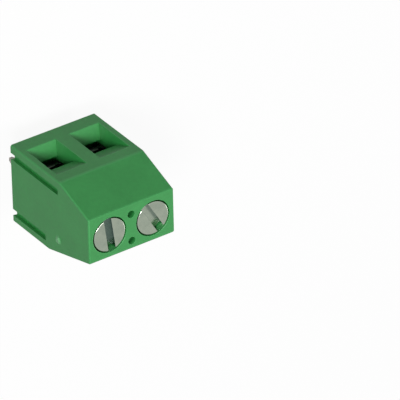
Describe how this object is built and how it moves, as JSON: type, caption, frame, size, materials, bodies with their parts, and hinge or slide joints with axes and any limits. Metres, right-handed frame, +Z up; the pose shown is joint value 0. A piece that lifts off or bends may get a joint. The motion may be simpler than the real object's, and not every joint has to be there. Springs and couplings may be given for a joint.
{
  "type": "pcb screw terminal",
  "caption": "Screw terminal for a circuit board with rising clamp cages, funnel wire entries, slotted screws, straight solder pins and dovetailed sides.",
  "frame": {"origin": "on the circuit board's surface, midway between the two solder pins", "axes": "+Z up from the board to the screw heads, +X along the row of poles, towards the side with the grooves, -Y out of the wire entries"},
  "size_m": [0.0106, 0.0089, 0.0176],
  "materials": {
    "green_plastic": "satin moulded",
    "cover_plastic": "satin moulded",
    "tinned_brass": "satin tin plate",
    "plated_cage": "dull dark plate",
    "zinc_screw": "satin zinc plate"
  },
  "bodies": {
    "block": {"housing": "green_plastic", "base_cover": "cover_plastic", "contact_left": "tinned_brass", "contact_right": "tinned_brass"},
    "cage_left": {"clamp_cage_left": "plated_cage"},
    "cage_right": {"clamp_cage_right": "plated_cage"},
    "screw_left": {"clamp_screw_left": "zinc_screw"},
    "screw_right": {"clamp_screw_right": "zinc_screw"}
  },
  "joints": [
    {"name": "cage_left_lift", "type": "slide", "parent": "block", "child": "cage_left", "axis": [0, 0, 1], "range_m": [-0.00075, 0.00215]},
    {"name": "cage_right_lift", "type": "slide", "parent": "block", "child": "cage_right", "axis": [0, 0, 1], "range_m": [-0.00075, 0.00215]},
    {"name": "screw_left_turn", "type": "hinge", "parent": "block", "child": "screw_left", "pos_m": [-0.00254, -0.00012, 0.0125], "axis": [0, 0, -1], "range_deg": [-540, 1548]},
    {"name": "screw_right_turn", "type": "hinge", "parent": "block", "child": "screw_right", "pos_m": [0.00254, -0.00012, 0.0125], "axis": [0, 0, -1], "range_deg": [-540, 1548]}
  ],
  "couplings": [
    {"joint": "screw_left_turn", "follows": "cage_left_lift", "rad_per_m": 12566},
    {"joint": "screw_right_turn", "follows": "cage_right_lift", "rad_per_m": 12566}
  ]
}
